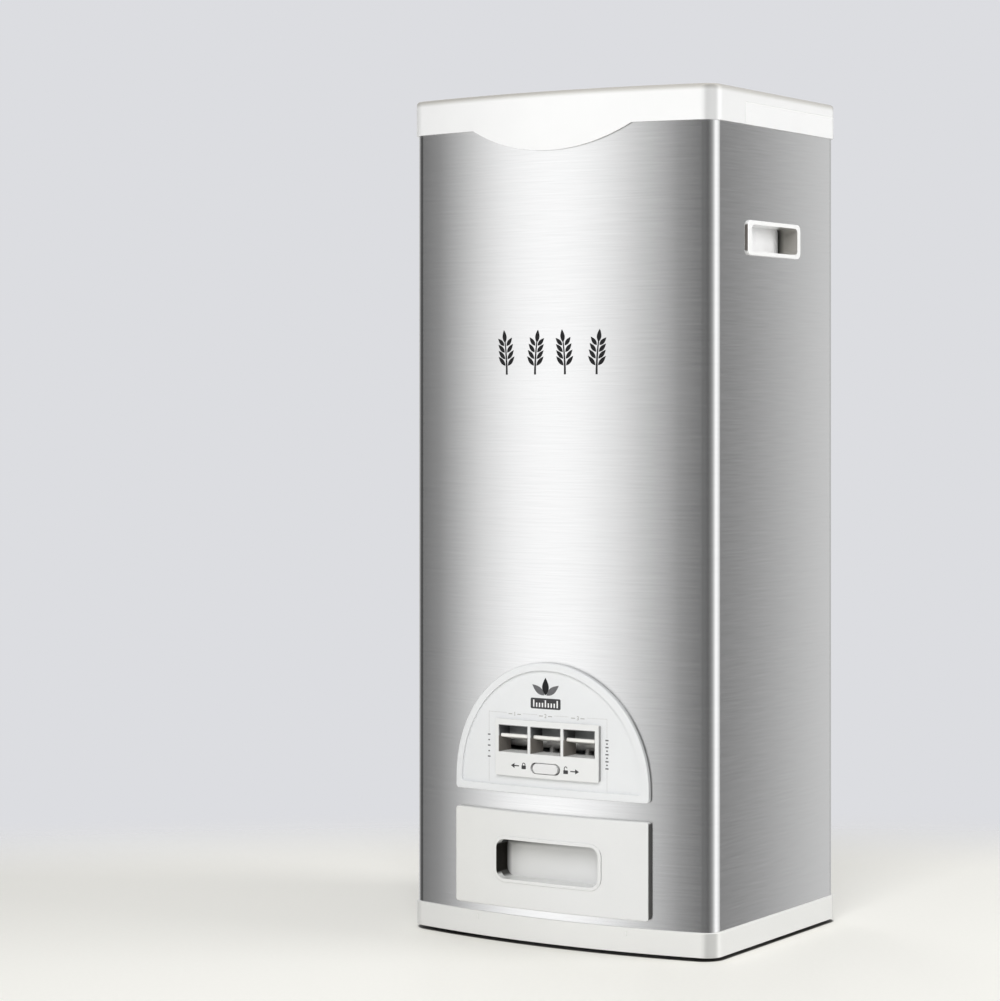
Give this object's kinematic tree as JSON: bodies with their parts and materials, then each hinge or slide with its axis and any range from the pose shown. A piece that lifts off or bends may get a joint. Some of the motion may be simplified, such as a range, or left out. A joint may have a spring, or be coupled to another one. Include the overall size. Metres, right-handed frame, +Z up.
{
  "type": "rice storage container",
  "caption": "Tall free-standing steel rice container with a bowed front, rear-hinged white lid, metering keys behind an arched panel, and a catch drawer.",
  "frame": {"origin": "on the floor, under the middle of the whole container's bounding box", "axes": "+X to the right of someone facing the front, +Y to the back, +Z up"},
  "size_m": [0.3, 0.2586, 0.72],
  "materials": {
    "brushed_steel": "horizontally brushed stainless steel",
    "white_gloss": "glossy white ABS",
    "white_satin": "satin white plastic",
    "dark_frame": "dark satin plastic",
    "key_bright": "bright plated metal",
    "inner_plastic": "natural satin polypropylene",
    "clear_chamber": "grey moulded plastic",
    "steel_pin": "turned steel",
    "zinc_sheet": "zinc-plated sheet",
    "rubber_foot": "matt black rubber",
    "silicone": "translucent white silicone"
  },
  "bodies": {
    "root": {"steel_shell": "brushed_steel", "top_collar": "white_gloss", "hinge_pin_left": "steel_pin", "hinge_pin_right": "steel_pin", "base": "white_gloss", "foot_front_left": "rubber_foot", "foot_front_right": "rubber_foot", "foot_rear_left": "rubber_foot", "foot_rear_right": "rubber_foot", "handle_cup_left": "white_gloss", "handle_cup_right": "white_gloss", "control_panel": "white_gloss", "bezel": "white_satin", "window_frame": "dark_frame", "key_shaft": "steel_pin", "shaft_clips": "steel_pin", "chamber_block": "clear_chamber", "upper_guide": "inner_plastic", "lower_guide": "inner_plastic", "side_plate_left": "zinc_sheet", "side_plate_right": "zinc_sheet", "chamber_screws": "steel_pin", "base_screws": "steel_pin", "hopper": "inner_plastic", "drawer_runner_left": "inner_plastic", "drawer_runner_right": "inner_plastic", "return_spring_1": "steel_pin", "return_spring_2": "steel_pin", "return_spring_3": "steel_pin"},
    "lid": {"lid": "white_gloss", "lid_gasket": "silicone"},
    "drawer": {"drawer_front": "white_gloss", "drawer_box": "white_satin", "drawer_screws": "steel_pin"},
    "lock": {"lock_knob": "white_gloss", "lock_bar": "inner_plastic"},
    "key_1": {"key_1": "key_bright"},
    "upper_shutter_1": {"upper_shutter_1": "inner_plastic"},
    "lower_shutter_1": {"lower_shutter_1": "inner_plastic"},
    "key_2": {"key_2": "key_bright"},
    "upper_shutter_2": {"upper_shutter_2": "inner_plastic"},
    "lower_shutter_2": {"lower_shutter_2": "inner_plastic"},
    "key_3": {"key_3": "key_bright"},
    "upper_shutter_3": {"upper_shutter_3": "inner_plastic"},
    "lower_shutter_3": {"lower_shutter_3": "inner_plastic"}
  },
  "joints": [
    {"name": "lid_hinge", "type": "hinge", "parent": "root", "child": "lid", "pos_m": [0, 0.1253, 0.706], "axis": [-1, 0, 0], "range_deg": [0, 100]},
    {"name": "drawer_slide", "type": "slide", "parent": "root", "child": "drawer", "axis": [0, -1, 0], "range_m": [0, 0.13]},
    {"name": "lock_slide", "type": "slide", "parent": "root", "child": "lock", "axis": [1, 0, 0], "range_m": [-0.0022, 0.0022]},
    {"name": "key_press_1", "type": "hinge", "parent": "root", "child": "key_1", "pos_m": [0, -0.096, 0.1701], "axis": [1, 0, 0], "range_deg": [0, 24], "stiffness_Nm_per_rad": 0.15, "springref_deg": -22.92, "deforming": ["return_spring_1"]},
    {"name": "key_press_2", "type": "hinge", "parent": "root", "child": "key_2", "pos_m": [0, -0.096, 0.1701], "axis": [1, 0, 0], "range_deg": [0, 24], "stiffness_Nm_per_rad": 0.15, "springref_deg": -22.92, "deforming": ["return_spring_2"]},
    {"name": "key_press_3", "type": "hinge", "parent": "root", "child": "key_3", "pos_m": [0, -0.096, 0.1701], "axis": [1, 0, 0], "range_deg": [0, 24], "stiffness_Nm_per_rad": 0.15, "springref_deg": -22.92, "deforming": ["return_spring_3"]},
    {"name": "upper_shutter_slide_1", "type": "slide", "parent": "root", "child": "upper_shutter_1", "axis": [0, -1, 0], "range_m": [0, 0.025]},
    {"name": "lower_shutter_slide_1", "type": "slide", "parent": "root", "child": "lower_shutter_1", "axis": [0, 1, 0], "range_m": [0, 0.025]},
    {"name": "upper_shutter_slide_2", "type": "slide", "parent": "root", "child": "upper_shutter_2", "axis": [0, -1, 0], "range_m": [0, 0.025]},
    {"name": "lower_shutter_slide_2", "type": "slide", "parent": "root", "child": "lower_shutter_2", "axis": [0, 1, 0], "range_m": [0, 0.025]},
    {"name": "upper_shutter_slide_3", "type": "slide", "parent": "root", "child": "upper_shutter_3", "axis": [0, -1, 0], "range_m": [0, 0.025]},
    {"name": "lower_shutter_slide_3", "type": "slide", "parent": "root", "child": "lower_shutter_3", "axis": [0, 1, 0], "range_m": [0, 0.025]}
  ],
  "couplings": [
    {"joint": "upper_shutter_slide_1", "follows": "key_press_1", "m_per_rad": 0.059562},
    {"joint": "lower_shutter_slide_1", "follows": "key_press_1", "m_per_rad": 0.059562},
    {"joint": "upper_shutter_slide_2", "follows": "key_press_2", "m_per_rad": 0.059562},
    {"joint": "lower_shutter_slide_2", "follows": "key_press_2", "m_per_rad": 0.059562},
    {"joint": "upper_shutter_slide_3", "follows": "key_press_3", "m_per_rad": 0.059562},
    {"joint": "lower_shutter_slide_3", "follows": "key_press_3", "m_per_rad": 0.059562}
  ]
}
